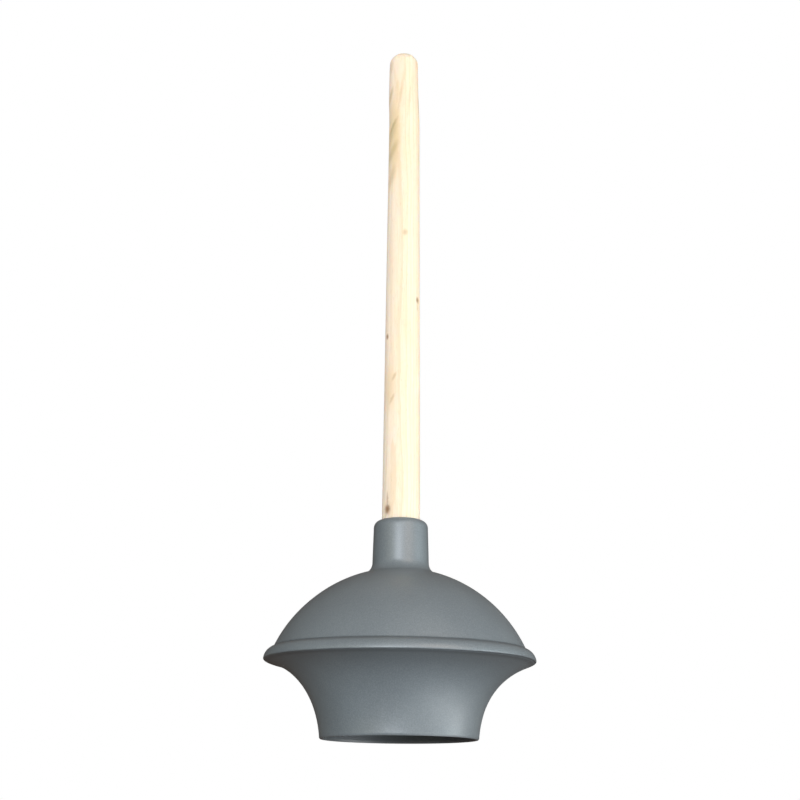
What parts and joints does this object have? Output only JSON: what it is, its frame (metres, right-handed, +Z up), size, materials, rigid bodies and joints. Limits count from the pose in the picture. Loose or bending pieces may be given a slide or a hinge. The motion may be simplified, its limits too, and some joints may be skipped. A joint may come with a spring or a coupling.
{
  "type": "toilet plunger",
  "caption": "Toilet plunger with a straight wooden handle pushed into a domed rubber cup, whose bell-shaped flange folds out below a rolled rim.",
  "frame": {"origin": "Centre of the flange's lip, on the flat face that the plunger stands on, which is also the centre of the bottom of its box.", "axes": "+Z runs up the handle, and is the axis that every part is turned about. +X and +Y are alike."},
  "size_m": [0.1524, 0.1524, 0.4362],
  "materials": {
    "wood": "bare sanded softwood, pale cream with light brown streaks and small knots",
    "rubber": "matte moulded blue-grey rubber with a faint bloom"
  },
  "bodies": {
    "cup": {"cup_rim": "rubber", "cup_dome": "rubber", "flange_web": "rubber"},
    "socket": {"cup_socket": "rubber"},
    "handle": {"wood_handle": "wood"},
    "flange": {"flange_sleeve": "rubber"}
  },
  "joints": [
    {"name": "plunge_stroke", "type": "slide", "parent": "cup", "child": "socket", "axis": [0, 0, 1], "range_m": [-0.03, 0], "stiffness_N_per_m": 3500, "springref_m": 0.001, "deforming": ["cup_dome"]},
    {"name": "handle_pull", "type": "slide", "parent": "socket", "child": "handle", "axis": [0, 0, 1], "range_m": [0, 0.04]},
    {"name": "flange_fold", "type": "slide", "parent": "cup", "child": "flange", "axis": [0, 0, 1], "range_m": [0, 0.039], "deforming": ["flange_web"]}
  ]
}
